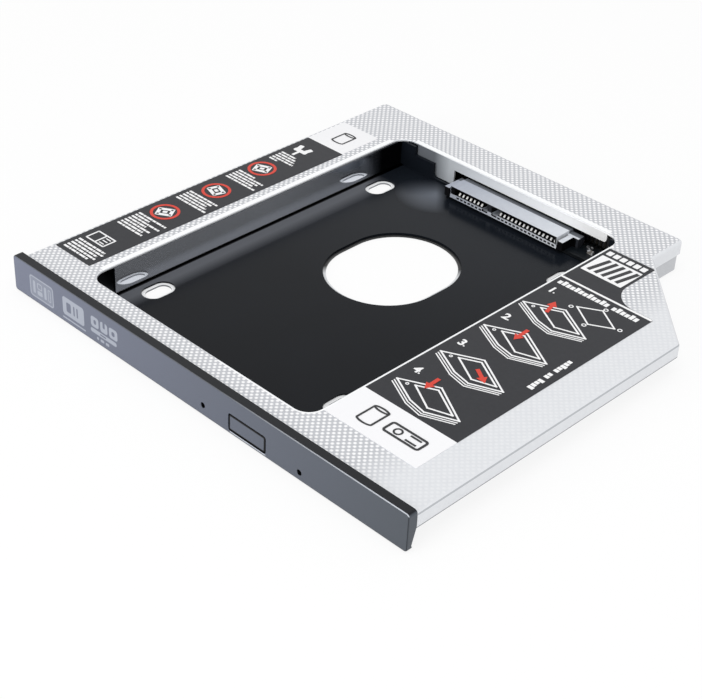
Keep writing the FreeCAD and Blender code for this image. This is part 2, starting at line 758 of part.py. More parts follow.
# Bezel: thin moulding, hollow at the back, with the button's opening, two small holes and snap hooks
def make_front_bezel():
    half = bezel_width / 2
    bezel = box(-half, half, front_y, bezel_rear, 0, bezel_height)
    ends = [edge for edge in bezel.Edges if abs(edge.CenterOfMass.x) > half - 0.001
            and abs(edge.CenterOfMass.y - (front_y + bezel_rear) / 2) < 0.001]
    bezel = bezel.makeFillet(bezel_end_round, ends)
    outer = [edge for edge in bezel.Edges if abs(edge.CenterOfMass.y - front_y) < 0.001]
    bezel = bezel.makeFillet(bezel_edge, outer)
    taper = side_profile([
        (bezel_rear + eps, wing_floor),
        (bezel_rear, wing_floor),
        (bezel_rear - bezel_taper, bezel_taper_end),
        (bezel_rear - bezel_taper + bezel_foot, bezel_taper_end),
        (bezel_rear - bezel_taper + bezel_foot, -eps),
        (bezel_rear + eps, -eps),
    ], block_right + sheet_gap, half + eps)
    bezel = bezel.cut(taper)
    pocket_front = front_y + bezel_wall
    pockets = []
    for left, right in bezel_pockets():
        pockets.append(box(left, right, pocket_front, bezel_rear + eps, bezel_rib, bezel_height - bezel_rib))
    bezel = bezel.cut(pockets)
    opening = rounded_block_y(button_centre_x - button_width / 2 - button_gap,
                              button_centre_x + button_width / 2 + button_gap,
                              button_centre_z - button_height / 2 - button_gap,
                              button_centre_z + button_height / 2 + button_gap,
                              front_y - eps, bezel_rear + eps, button_corner)
    bezel = bezel.cut(opening)
    bezel = bezel.cut(cylinder_y(light_hole_x, light_hole_z, light_hole_radius, front_y - eps, bezel_rear))
    bezel = bezel.cut(cylinder_y(pin_hole_x, pin_hole_z, pin_hole_radius, front_y - eps, bezel_rear))
    posts = []
    for side in (-1, 1):
        x = button_centre_x + side * button_arm_reach
        post_end = bezel_rear + button_travel + button_flange_thickness
        posts.append(cylinder_y(x, button_centre_z, post_radius, pocket_front - eps, post_end))
    clips = [make_clip(x, clip_width, tray_top + clip_clearance, sheet_gap) for x in clip_places]
    wing_top = wing_floor + shell_sheet
    clips.append(make_clip(wing_clip_x, wing_clip_width, wing_top + clip_clearance, wing_floor + sheet_gap))
    return bezel.fuse(posts + clips).removeSplitter()


def bezel_pockets():
    half = bezel_width / 2
    light_side = light_hole_x + bezel_rib * 2
    pin_side = pin_hole_x - bezel_rib * 2
    pin_far = pin_hole_x + bezel_rib * 2
    light_near = light_hole_x - bezel_rib * 2
    quarter = (-half + light_near) / 2
    return [
        (-half + bezel_rib, quarter - bezel_rib / 2),
        (quarter + bezel_rib / 2, light_near),
        (light_side, pin_side),
        (pin_far, half - bezel_rib),
    ]


# One snap hook: an arm from the bezel's back that ends in a catch in the floor's window
def make_clip(x, width, arm_bottom, hook_bottom):
    arm_top = arm_bottom + clip_thickness
    root = front_y + bezel_wall
    tip = bezel_rear + clip_length
    catch_front = tip - clip_thickness
    outline = [
        (root, arm_bottom),
        (catch_front, arm_bottom),
        (catch_front, hook_bottom),
        (tip - clip_thickness / 2, hook_bottom),
        (tip, arm_bottom),
        (tip, arm_top),
        (root, arm_top),
    ]
    return side_profile(outline, x - width / 2, x + width / 2)


# Eject button: its face fills the opening, and a flange and two eyes guide it behind the bezel
def make_eject_button():
    half_w = button_width / 2
    half_h = button_height / 2
    low = button_centre_z - half_h
    high = button_centre_z + half_h
    flange_front = front_y + bezel_wall + sheet_gap
    flange_rear = flange_front + button_flange_thickness
    face = rounded_block_y(button_centre_x - half_w, button_centre_x + half_w, low, high, front_y,
                           flange_rear, button_corner - button_gap)
    front_edges = [edge for edge in face.Edges if abs(edge.CenterOfMass.y - front_y) < 0.001]
    face = face.makeChamfer(button_gap / 2, front_edges)
    flange = box(button_centre_x - half_w - button_flange, button_centre_x + half_w + button_flange,
                 flange_front, flange_rear, low, high + button_flange)
    arm_half = button_arm_height / 2
    arm = box(button_centre_x - button_arm_reach, button_centre_x + button_arm_reach, flange_front, flange_rear,
              button_centre_z - arm_half, button_centre_z + arm_half)
    pieces = [flange, arm]
    for side in (-1, 1):
        x = button_centre_x + side * button_arm_reach
        pieces.append(cylinder_y(x, button_centre_z, button_eye_radius, flange_front, flange_rear))
    button = face.fuse(pieces)
    for side in (-1, 1):
        x = button_centre_x + side * button_arm_reach
        hole = cylinder_y(x, button_centre_z, post_radius + post_slack, flange_front - eps, flange_rear + eps)
        button = button.cut(hole)
    return button.removeSplitter()


# Printed film labels on the cover
def make_left_label():
    left = cover_left + left_label_margin
    return rounded_box(left, left + left_label_width, bezel_rear + left_label_front, rear_y - left_label_rear,
                       body_height, body_height + label_film, label_corner)


# The right label's outline: a panel, and a narrower tab behind it with a hollow round between them
def make_right_label():
    left = window_right + right_label_inner
    right = cover_right - right_label_outer
    front = bezel_rear + right_label_front
    shoulder = notch_sum - right - right_label_slant_room
    tab_right = left + (right - left) * right_label_tab_share
    tab_rear = notch_sum - tab_right - right_label_tab_room
    hollow = (right - left) * right_label_round_share
    base = body_height
    top = body_height + label_film
    points = [
        (left, front), (right, front), (right, shoulder), (tab_right + hollow, shoulder),
        (tab_right, shoulder + hollow), (tab_right, tab_rear), (left, tab_rear),
    ]
    label = prism(points, base, top)
    round_cut = cylinder_z(tab_right + hollow, shoulder + hollow, hollow, base - eps, top + eps)
    label = label.cut(round_cut)
    corners = [points[0], points[1], points[2], points[5], points[6]]
    return round_upright_corners(label, label_corner, corners)


nodes = {
    "top_cover": make_top_cover(),
    "lower_shell": make_lower_shell(),
    "inner_tray": make_inner_tray(),
    "front_bezel": make_front_bezel(),
    "eject_button": make_eject_button(),
    "drive_socket_housing": make_socket_housing(),
    "drive_signal_contacts": make_contact_group(first_contact_x, contact_pitch, signal_count, socket_contact),
    "drive_power_contacts": make_contact_group(first_power_x, contact_pitch, power_count, socket_contact),
    "adapter_board": make_adapter_board(),
    "board_capacitors": chip_parts(capacitor_spots, capacitor_height),
    "board_resistors": chip_parts(resistor_spots, resistor_height),
    "board_screws": make_board_screws(),
    "socket_locks": make_socket_locks(),
    "laptop_plug_housing": make_plug_housing(),
    "laptop_signal_contacts": make_contact_group(
        plug_centre_x + plug_signal_start, contact_pitch, plug_signal_count, plug_contact),
    "laptop_power_contacts": make_contact_group(
        plug_centre_x + plug_power_start, plug_power_pitch, plug_power_count, plug_contact),
    "plug_locks": make_plug_locks(),
    "tray_screws": make_tray_screws(),
    "left_label": make_left_label(),
    "right_label": make_right_label(),
}

for name, shape in nodes.items():
    shape.exportStep("parts/" + name + ".step")
    print(name, "solids", len(shape.Solids), "volume %.1f" % shape.Volume, "valid", shape.isValid())
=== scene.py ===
import itertools
import math

import bmesh
import bpy
from mathutils import Matrix, Vector


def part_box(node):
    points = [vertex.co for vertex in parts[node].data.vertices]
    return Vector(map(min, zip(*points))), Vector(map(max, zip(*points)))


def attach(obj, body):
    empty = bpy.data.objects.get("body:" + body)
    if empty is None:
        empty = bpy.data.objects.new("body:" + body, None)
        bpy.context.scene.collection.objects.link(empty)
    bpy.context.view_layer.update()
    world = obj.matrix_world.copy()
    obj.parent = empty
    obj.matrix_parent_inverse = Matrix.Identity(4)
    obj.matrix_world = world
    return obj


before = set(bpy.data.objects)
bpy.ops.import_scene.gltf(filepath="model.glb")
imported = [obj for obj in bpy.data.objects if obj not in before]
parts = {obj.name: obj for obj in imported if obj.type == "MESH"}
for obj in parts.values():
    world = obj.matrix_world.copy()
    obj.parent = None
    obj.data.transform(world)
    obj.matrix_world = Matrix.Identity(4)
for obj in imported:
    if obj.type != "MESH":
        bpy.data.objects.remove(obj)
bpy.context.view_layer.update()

# The view: a long lens from the front right, a little over half a right angle round from the bezel.
# The frame was cut from a wider picture, so the lens is shifted a little to the right.
mm = 0.001
view_azimuth = math.radians(45.23)
view_height = math.radians(34.62)
view_roll = math.radians(-1.58)
view_distance = 353.59
view_target = Vector((9.04, -39.46, 8.6))
picture_width = 702
sight_pixels = 1615.36
sight_column = 300
sensor_width = 36

level = Vector((math.cos(view_azimuth), math.sin(view_azimuth), 0))
back = Vector((math.sin(view_azimuth) * math.cos(view_height),
               -math.cos(view_azimuth) * math.cos(view_height), math.sin(view_height)))
upright = back.cross(level)
side = level * math.cos(view_roll) - upright * math.sin(view_roll)
top = level * math.sin(view_roll) + upright * math.cos(view_roll)
bpy.ops.object.camera_add(location=(view_target + back * view_distance) * mm,
                          rotation=Matrix((side, top, back)).transposed().to_euler())
camera = bpy.context.object
camera.data.sensor_fit = "HORIZONTAL"
camera.data.sensor_width = sensor_width
camera.data.lens = sensor_width * sight_pixels / picture_width
camera.data.shift_x = (picture_width / 2 - sight_column) / picture_width
camera.data.clip_start = 0.01
bpy.context.scene.camera = camera


# The top cover is one stamped and folded aluminium sheet, satin silver, with a fine grid of small dots
# pressed into its flat top. Its folded rims and the flap over the drive socket stay plain.
dot_pitch_x = 1.5
dot_pitch_y = 1.75
dot_radius = 0.36
dot_blur = 0.15
dot_depth = 0.08
grain_size = 1.11
least_dots = 0.22
plain_share = 0.95
plain_side = 54.0
fade_length = 9.0
wing_left = 38.3
rim_foot = 5.25
fold_low = 8.0
window_left = -45.3
window_right = 27.7
window_front = -55.1
window_rear = 51.9
window_corner = 4.0
rim_width = 1.5
front_rim_width = 0.6
front_rim_start = 0.0
front_line = -60.65
label_gap = 0.7
edge_slack = 0.1
flap_front = 51.5
# where the flap's painted shade gives way, and where its painted highlight grows
flap_shade_end = (-34.0, -28.5)
flap_highlight_span = (-30.0, 22.0)
hard_edge = 0.001


def linear(code):
    def tone(part):
        value = int(part, 16) / 255
        return value / 12.92 if value <= 0.04045 else ((value + 0.055) / 1.055) ** 2.4

    return tuple(tone(code[i:i + 2]) for i in (0, 2, 4)) + (1.0,)


def add_node(tree, kind, links=None, **settings):
    node = tree.nodes.new(kind)
    for name, value in settings.items():
        setattr(node, name, value)
    for name, value in (links or {}).items():
        if isinstance(value, bpy.types.NodeSocket):
            tree.links.new(value, node.inputs[name])
        else:
            node.inputs[name].default_value = value
    return node


# Steps of arithmetic on a number or a vector, each an operation and its other value
def work_out(tree, kind, value, *steps):
    for operation, *other in steps:
        node = add_node(tree, kind, dict(enumerate([value, *other])), operation=operation)
        value = next(output for output in node.outputs if output.enabled)
    return value


def place_in_mm(tree):
    place = add_node(tree, "ShaderNodeTexCoord").outputs["Object"]
    return work_out(tree, "ShaderNodeVectorMath", place, ("MULTIPLY", (1 / mm,) * 3))


# What a coat of paint can go by: a place on the piece in millimetres, as one vector and as x, y and z,
# and the way that its face looks there, as nx, ny and nz
def read_surface(tree):
    surface = {"in_mm": place_in_mm(tree)}
    normal = add_node(tree, "ShaderNodeNewGeometry").outputs["Normal"]
    for vector, names in ((surface["in_mm"], ("x", "y", "z")), (normal, ("nx", "ny", "nz"))):
        surface.update(zip(names, add_node(tree, "ShaderNodeSeparateXYZ", {0: vector}).outputs))
    return surface


# The patch that a coat covers. A limit has two ends, and each is a place, a pair of places that the coat
# fades between, or None where it is open. Shares thin the coat, all over or by other patches. An edge that
# doesn't fade is still a thousandth of a millimetre wide.
def patch(tree, surface, *shares, **limits):
    masks = list(shares)
    for measure, ends in limits.items():
        for end, before, after in zip(ends, (0.0, 1.0), (1.0, 0.0)):
            if end is not None:
                start, stop = end if isinstance(end, tuple) else (end, end + hard_edge)
                masks.append(add_node(tree, "ShaderNodeMapRange", {
                    "Value": surface[measure], "From Min": start, "From Max": stop,
                    "To Min": before, "To Max": after}).outputs[0])
    return work_out(tree, "ShaderNodeMath", masks[0], *(("MULTIPLY", mask) for mask in masks[1:]))


def any_of(tree, first, *others):
    return work_out(tree, "ShaderNodeMath", first, *(("MAXIMUM", mask) for mask in others))


# Coats of paint: each covers the ones under it where its patch is
def coats(tree, paint, *layers):
    for mask, colour in layers:
        under, over = (linear(part) if isinstance(part, str) else part for part in (paint, colour))
        paint = add_node(tree, "ShaderNodeMix", {0: mask, 6: under, 7: over}, data_type="RGBA").outputs[2]
    return paint


def new_finish(name):
    finish = bpy.data.materials.new(name)
    finish.use_nodes = True
    finish.node_tree.nodes.clear()
    return finish


def shade(tree, links):
    shader = add_node(tree, "ShaderNodeBsdfPrincipled", links)
    add_node(tree, "ShaderNodeOutputMaterial", {"Surface": shader.outputs[0]})


def dress(finish, *names):
    for name in names:
        parts[name].data.materials.clear()
        parts[name].data.materials.append(finish)


# Satin aluminium: the eye gets a pale soft sheen, small white dots on a light grey ground, and a faint grain
dotted_aluminium = new_finish("dotted_satin_aluminium")
tree = dotted_aluminium.node_tree
surface = read_surface(tree)
half_cell = (0.5, 0.5, 0)
cells = work_out(tree, "ShaderNodeVectorMath", surface["in_mm"],
                 ("MULTIPLY", (1 / dot_pitch_x, 1 / dot_pitch_y, 0)))
corner_dot, middle_dot = [
    work_out(tree, "ShaderNodeVectorMath", cells, ("ADD", offset), ("FRACTION",), ("SUBTRACT", half_cell),
             ("MULTIPLY", (dot_pitch_x, dot_pitch_y, 0)), ("LENGTH",))
    for offset in ((0, 0, 0), half_cell)]
surface["to_dot"] = work_out(tree, "ShaderNodeMath", corner_dot, ("MINIMUM", middle_dot))
surface["to_corner"] = work_out(
    tree, "ShaderNodeVectorMath", surface["in_mm"],
    ("SUBTRACT", (window_right - window_corner, window_front + window_corner, 0)),
    ("MULTIPLY", (1, 1, 0)), ("LENGTH",))
flat = (0.98, None)
standing = (None, 0.5)
beside_window = (window_front + window_corner, window_rear - window_corner)
# the rims round the window and the strip along the front edge have no dots, and are painted near-white as a
# painted highlight
rims = any_of(
    tree,
    patch(tree, surface, x=(window_left - rim_width, window_left + edge_slack), y=beside_window),
    patch(tree, surface, x=(window_right - edge_slack, window_right + label_gap), y=beside_window),
    patch(tree, surface, x=(window_left + window_corner, window_right - window_corner),
          y=(window_rear - edge_slack, window_rear + rim_width)),
    patch(tree, surface, x=(front_rim_start, window_right - window_corner),
          y=(window_front - front_rim_width, window_front + edge_slack)),
    patch(tree, surface, to_corner=(None, window_corner + front_rim_width),
          x=(window_right - window_corner, None), y=(None, window_front + window_corner)),
    patch(tree, surface, x=(front_rim_start, None), y=(None, front_line)))
rim = patch(tree, surface, rims, nz=flat)
surface["rim"] = rim
# the dots fade out towards the wing's edge, and the folds have none
to_plain = patch(tree, surface, x=((plain_side - fade_length, plain_side), None))
fade = work_out(tree, "ShaderNodeMath", to_plain, ("MULTIPLY", least_dots - 1), ("ADD", 1.0))
dots = patch(tree, surface, fade, to_dot=(None, (dot_radius - dot_blur, dot_radius + dot_blur)), nz=flat,
             rim=(None, 0.5))
bare = any_of(tree, patch(tree, surface, nz=(None, flat[0])), patch(tree, surface, to_plain, plain_share))
# a painted shadow runs as a grey line along the foot of the wing's folded rim, and painted shade makes the
# fold above it a thin grey line
foot = patch(tree, surface, nz=standing, x=(wing_left, None), z=(None, rim_foot))
fold_shade = patch(tree, surface, nz=(0.3, 0.7), x=(wing_left, None), z=(fold_low, None))
# the flap's front is painted with light: a painted shade at its left end, then pale, and a painted highlight
# that grows brighter towards its right end
flap = patch(tree, surface, ny=(None, -0.9), y=(flap_front, None))
flap_painted_light = coats(tree, "bbc0c5", (patch(tree, surface, x=(flap_highlight_span, None)), "ffffff"))
flap_painted_light = coats(tree, "696d73", (patch(tree, surface, x=(flap_shade_end, None)), flap_painted_light))
grain = add_node(tree, "ShaderNodeTexNoise", {"Vector": surface["in_mm"], "Scale": 1 / grain_size,
                 "Detail": 4.0}).outputs["Fac"]
ground = coats(tree, "babcc1", (grain, "c6c8cd"))
plain = coats(tree, "dadce0", (grain, "e4e6e9"))
paint = coats(tree, ground, (bare, plain), (dots, "fbfbfc"), (rim, "fafbfc"), (foot, "8b8d91"),
              (fold_shade, "b4b7bb"), (flap, flap_painted_light))
metal = add_node(tree, "ShaderNodeMapRange", {"Value": flap, "To Min": 0.5, "To Max": 0.05}).outputs[0]
relief = add_node(tree, "ShaderNodeBump", {"Height": dots, "Strength": 0.25,
                  "Distance": dot_depth * mm}).outputs[0]
shade(tree, {"Base Color": paint, "Metallic": metal, "Roughness": 0.38, "Normal": relief})
dress(dotted_aluminium, "top_cover")


# The lower shell is a second folded sheet of plain aluminium. It makes the underside, the inner walls and the
# thin wing's floor. The tray's floor lies on it, and it shows as a narrow ledge in the tray's openings.
hole_x = (-26.0, 7.0)
hole_y = (-10.0, 30.0)
well_x = (-44.9, 28.0)
well_y = (-55.0, 51.0)
sheet_top = 0.6
tray_shade = (15.0, 20.0)
streak_length = 16.67
streak_width = 0.417

# Plain satin aluminium: the eye gets a pale even sheen with faint long streaks from the rolling
plain_aluminium = new_finish("plain_satin_aluminium")
tree = plain_aluminium.node_tree
surface = read_surface(tree)
rolled = work_out(tree, "ShaderNodeVectorMath", surface["in_mm"],
                  ("DIVIDE", (streak_length, streak_width, streak_width)))
grain = add_node(tree, "ShaderNodeTexNoise", {"Vector": rolled, "Scale": 1.0, "Detail": 3.0}).outputs["Fac"]
in_well = patch(tree, surface, nz=(-0.5, None), z=(None, sheet_top), x=well_x, y=well_y)
hole = patch(tree, surface, x=hole_x, y=hole_y)
surface["hole"] = hole
# round the floor hole the ledge lies in the tray's shade, but for its near right side
surface["rearwards"] = work_out(tree, "ShaderNodeMath", surface["y"], ("SUBTRACT", surface["x"]))
shaded = patch(tree, surface, in_well, hole, rearwards=(tray_shade, None))
# the four drive slots show the sheet's cut edge as a thin grey line, a painted shade on its upright face
cut_edge_shade = patch(tree, surface, in_well, nz=standing, hole=(None, 0.5))
# inside the well the ledge is painted near-white as painted light, standing for the white seen through the
# openings, and a little greyer round the floor hole
painted_bright_ledge = coats(tree, "f6f7f8", (hole, "d9dbde"))
paint = coats(tree, "b9bbbf", (grain, "cbcdd0"), (in_well, painted_bright_ledge), (shaded, "0b0c0e"), (cut_edge_shade, "77797d"))
metal = add_node(tree, "ShaderNodeMapRange", {"Value": in_well, "To Min": 0.8, "To Max": 0.0}).outputs[0]
rough = add_node(tree, "ShaderNodeMapRange", {"Value": grain, "To Min": 0.28, "To Max": 0.42}).outputs[0]
shade(tree, {"Base Color": paint, "Metallic": metal, "Roughness": rough})
dress(plain_aluminium, "lower_shell")


# The inner tray is a moulding in high-gloss black ABS: the well's floor, its walls and the ribs beside them.
# The well's left wall is polished so well that it mirrors the floor's slots.
polished_wall = -44.9
wall_slack = 0.1
wall_clear = (0.0, 30.0)
wall_lean = 0.105
wall_foot = 1.15
wall_shade_span = (37.0, 43.0)
groove_right = -44.0
strip_right = (-41.5, -37.5)
strip_rear = (36.0, 42.0)
sheen_rear = (-10.0, 40.0)
reflection_middle = (-27.5, 46.0, 0)
reflection_reach = 11.0
reflection_socket_side = (12.8, 16.4)
reflection_wall_side = (-84.0, -71.0)
wave_length = 16.67
wave_height = 0.4

# High-gloss black ABS: the eye gets a deep blue-black with soft clear reflections that waver a little
gloss_black = new_finish("high_gloss_black_abs")
tree = gloss_black.node_tree
surface = read_surface(tree)
in_mm = surface["in_mm"]
waves = add_node(tree, "ShaderNodeTexNoise", {"Vector": in_mm, "Scale": 1 / wave_length,
                 "Detail": 2.0}).outputs["Fac"]
facing_up = (0.5, None)
# the floor is painted lighter towards the rear, a painted sheen
painted_rear_sheen = patch(tree, surface, y=(sheen_rear, None))
# a strip of floor beside the left wall is painted grey, a painted reflection of the lit wall
painted_wall_reflection = patch(tree, surface, x=(None, strip_right), nz=facing_up, y=(None, strip_rear))
# the groove along the polished wall's foot is painted black, a painted shade in the crease
groove_shade = patch(tree, surface, x=(polished_wall - wall_slack, groove_right), z=(None, wall_foot))
mirror = patch(tree, surface, nx=(0.9, None), z=(wall_foot, None),
               x=(polished_wall - wall_slack, polished_wall + wall_slack))
# in front of the socket's left end the floor is painted lighter, a painted reflection of the flap
surface["from_glow"] = work_out(tree, "ShaderNodeVectorMath", in_mm, ("SUBTRACT", reflection_middle),
                                ("MULTIPLY", (1, 1, 0)), ("LENGTH",))
surface["to_socket"] = work_out(tree, "ShaderNodeVectorMath", in_mm, ("DOT_PRODUCT", (1, 0.875, 0)))
surface["to_wall"] = work_out(tree, "ShaderNodeVectorMath", in_mm, ("DOT_PRODUCT", (1, -1, 0)))
glow = patch(tree, surface, from_glow=(None, (0.0, reflection_reach)), to_socket=(None, reflection_socket_side),
             to_wall=(reflection_wall_side, None), nz=facing_up)
# towards its rear end the polished wall is painted dark, a painted shade
wall_mirror_and_shade = coats(tree, "d6dae2", (patch(tree, surface, y=(wall_shade_span, None)), "2a2c30"))
paint = coats(tree, "04070c", (waves, "0a0e15"), (painted_rear_sheen, "15191f"), (painted_wall_reflection, "56585d"),
              (glow, "6e737c"), (groove_shade, "000000"), (mirror, wall_mirror_and_shade))
clearness = add_node(tree, "ShaderNodeMapRange", {
    "Value": surface["y"], "From Min": wall_clear[0], "From Max": wall_clear[1],
    "To Min": 0.88, "To Max": 0.97}).outputs[0]
metal = work_out(tree, "ShaderNodeMath", mirror, ("MULTIPLY", clearness))
rough = add_node(tree, "ShaderNodeMapRange", {"Value": mirror, "To Min": 0.22, "To Max": 0.06}).outputs[0]
# the polished wall leans a little, so its mirror image of the floor sits low
ripple = add_node(tree, "ShaderNodeBump", {"Height": waves, "Strength": 0.05,
                  "Distance": wave_height * mm}).outputs[0]
lean = work_out(tree, "ShaderNodeMath", mirror, ("MULTIPLY", wall_lean))
tilt = add_node(tree, "ShaderNodeCombineXYZ", {"Z": lean}).outputs[0]
normal = work_out(tree, "ShaderNodeVectorMath", ripple, ("ADD", tilt), ("NORMALIZE",))
shade(tree, {"Base Color": paint, "Metallic": metal, "Roughness": rough, "IOR": 1.5,
             "Specular IOR Level": 0.1, "Normal": normal})
dress(gloss_black, "inner_tray")


# The drive socket is moulded in pale grey LCP, with two slots and the key between them. A guide arm stands at
# each end, and the lower lip has a row of openings under the contacts.
socket_front = 45.9
slot_floor = 2.88
slot_roof = 5.06
slot_skin = 0.04
front_skin = 0.15
step_front = 50.9
step_slack = 0.01
body_left = -22.4
body_right = 12.8
end_gap_left = 0.2
end_gap_right = 0.15
key_x = (-9.74, -8.44)
ear_start = 15.75
lip_opening_y = (socket_front + 0.03, socket_front + 0.6)
lip_opening_z = (2.03, 2.67)
speck_size = 1.11

# Pale grey LCP: the eye gets a dull even grey that is lighter to the right, with painted shade that is black
# in the slots
grey_lcp = new_finish("pale_grey_lcp")
tree = grey_lcp.node_tree
surface = read_surface(tree)
speckle = add_node(tree, "ShaderNodeTexNoise", {"Vector": surface["in_mm"], "Scale": 1 / speck_size,
                   "Detail": 3.0}).outputs["Fac"]
to_right = patch(tree, surface, x=((body_left, body_right), None))
dark_speck = coats(tree, "a0a5b1", (to_right, "cbcfd6"))
pale_speck = coats(tree, "afb4bf", (to_right, "dadee3"))
inside = any_of(tree, patch(tree, surface, nz=standing, z=(slot_floor + slot_skin, None)),
                patch(tree, surface, y=(socket_front + front_skin, None)))
slot_shade = patch(tree, surface, inside, x=(body_left, body_right), z=(slot_floor, slot_roof),
             y=(None, step_front))
key_shade = patch(tree, surface, slot_shade, x=key_x)
opening_shade = patch(tree, surface, y=lip_opening_y, z=lip_opening_z)
beside_body = any_of(tree, patch(tree, surface, x=(None, body_left - end_gap_left)),
                     patch(tree, surface, x=(body_right + end_gap_right, None)))
ends = patch(tree, surface, beside_body, nz=standing)
ear_shade = patch(tree, surface, ends, x=(ear_start, None))
# behind the step the top is painted mid grey, a painted shade under the flap
shade_under_flap = patch(tree, surface, y=(step_front - step_slack, None))
# painted shade: the slots, the lip's openings and the arms' flanks are painted black, the key and the ears
# dark grey
paint = coats(tree, dark_speck, (speckle, pale_speck), (shade_under_flap, "6c7076"),
              (any_of(tree, slot_shade, opening_shade, ends), "09090b"), (key_shade, "2a2c31"), (ear_shade, "2e3036"))
shade(tree, {"Base Color": paint, "Roughness": 0.42, "IOR": 1.6, "Specular IOR Level": 0.08})
dress(grey_lcp, "drive_socket_housing")


# The contacts are stamped copper alloy strips. The drive socket's are plated bright, and their crests are
# painted white and matt, a painted highlight on the plating, while the rest is painted near-black, a painted
# shade of the slots. The laptop plug's are plated dull and painted dark, a painted shade.
tip_end = 46.95
shade_end = 54.95
tarnish_size = 1.43
for finish_name, dull, bright, metal, names in (
        ("bright_plated_contacts", "f2f2f0", "ffffff", 0.0,
         ("drive_signal_contacts", "drive_power_contacts")),
        ("dull_plated_contacts_in_painted_shade", "3c3a36", "4a4741", 0.8,
         ("laptop_signal_contacts", "laptop_power_contacts"))):
    plating = new_finish(finish_name)
    tree = plating.node_tree
    surface = read_surface(tree)
    tarnish = add_node(tree, "ShaderNodeTexNoise", {"Vector": surface["in_mm"],
                       "Scale": 1 / tarnish_size}).outputs["Fac"]
    shaded = patch(tree, surface, y=(tip_end, shade_end))
    paint = coats(tree, dull, (tarnish, bright), (shaded, "101113"))
    shade(tree, {"Base Color": paint, "Metallic": metal, "Roughness": 0.3, "Specular IOR Level": 0.1})
    dress(plating, *names)


# Tinned steel tabs hold the socket's ears and the plug's sides on the board. They are cut from strip and
# soldered, so the eye gets a soft grey-white metal with faint clouds.
tin_cloud_size = 2.0
tinned_steel = new_finish("tinned_steel")
tree = tinned_steel.node_tree
in_mm = place_in_mm(tree)
cloud = add_node(tree, "ShaderNodeTexNoise", {"Vector": in_mm, "Scale": 1 / tin_cloud_size,
                 "Detail": 3.0}).outputs["Fac"]
paint = coats(tree, "b4b6b8", (cloud, "d2d3d4"))
shade(tree, {"Base Color": paint, "Metallic": 1.0, "Roughness": 0.32})
dress(tinned_steel, "socket_locks", "plug_locks")


# The adapter board is a glass-fibre laminate under near-black solder mask. The eye gets a dark gloss, with
# the laminate's weave and the copper tracks just showing through.
weave_pitch = 0.667
track_pitch = 3.85
solder_mask = new_finish("black_solder_mask")
tree = solder_mask.node_tree
in_mm = place_in_mm(tree)
weave = add_node(tree, "ShaderNodeTexChecker", {
    "Vector": in_mm, "Scale": 1 / weave_pitch, "Color1": linear("0b0f12"),
    "Color2": linear("0f1418")}).outputs["Color"]
copper = add_node(tree, "ShaderNodeTexBrick", {
    "Vector": in_mm, "Scale": 1 / track_pitch, "Color1": linear("161c22"), "Color2": linear("0e1317"),
    "Mortar": linear("090c0f"), "Mortar Size": 0.03}).outputs["Color"]
paint = coats(tree, weave, (0.5, copper))
shade(tree, {"Base Color": paint, "Roughness": 0.3, "IOR": 1.5})
dress(solder_mask, "adapter_board")


# The chips on the board are small blocks of fired ceramic, grey-brown capacitors and black resistors. Tin at
# their ends and solder beside them give the eye pale specks.
tin_speck_size = 0.833
for name, body in (("board_capacitors", "6f6b66"), ("board_resistors", "202124")):
    chip = new_finish("chip_ceramic_" + name)
    tree = chip.node_tree
    in_mm = place_in_mm(tree)
    speck = add_node(tree, "ShaderNodeTexNoise", {"Vector": in_mm,
                     "Scale": 1 / tin_speck_size}).outputs["Fac"]
    tin = patch(tree, {"speck": speck}, speck=((0.45, 0.6), None))
    shade(tree, {"Base Color": coats(tree, body, (tin, "b4b6b9")), "Roughness": 0.4})
    dress(chip, name)


# The laptop-side plug is moulded in black glass-filled nylon. Its short fibres give the eye a dull, slightly
# rough black with lighter flecks.
fibre_size = 0.667
fibre_height = 0.05
black_nylon = new_finish("black_glass_filled_nylon")
tree = black_nylon.node_tree
in_mm = place_in_mm(tree)
fibre = add_node(tree, "ShaderNodeTexNoise", {"Vector": in_mm, "Scale": 1 / fibre_size,
                 "Detail": 4.0}).outputs["Fac"]
paint = coats(tree, "151517", (fibre, "212124"))
fuzz = add_node(tree, "ShaderNodeBump", {"Height": fibre, "Strength": 0.1,
                "Distance": fibre_height * mm}).outputs[0]
shade(tree, {"Base Color": paint, "Roughness": 0.5, "IOR": 1.53, "Normal": fuzz})
dress(black_nylon, "laptop_plug_housing")


# Small nickel-plated steel screws: four countersunk ones from below, and two that hold the board. The plating
# follows the turned steel, so the eye gets a warm grey mirror that is clearer in some places than in others.
turning_size = 1.25
nickel = new_finish("nickel_plated_steel")
tree = nickel.node_tree
in_mm = place_in_mm(tree)
turned = add_node(tree, "ShaderNodeTexNoise", {"Vector": in_mm, "Scale": 1 / turning_size,
                  "Detail": 2.0}).outputs["Fac"]
rough = add_node(tree, "ShaderNodeMapRange", {"Value": turned, "To Min": 0.18, "To Max": 0.34}).outputs[0]
shade(tree, {"Base Color": linear("b9b7b2"), "Metallic": 1.0, "Roughness": rough})
dress(nickel, "tray_screws", "board_screws")


# The bezel is a black ABS moulding, and the eject button in it has the same finish. Their front faces and
# ends are painted slate grey, darker towards the right, as painted light, while the bezel's top stays black.
# At its left end three small marks are pad-printed in pale ink, here as plain shapes.

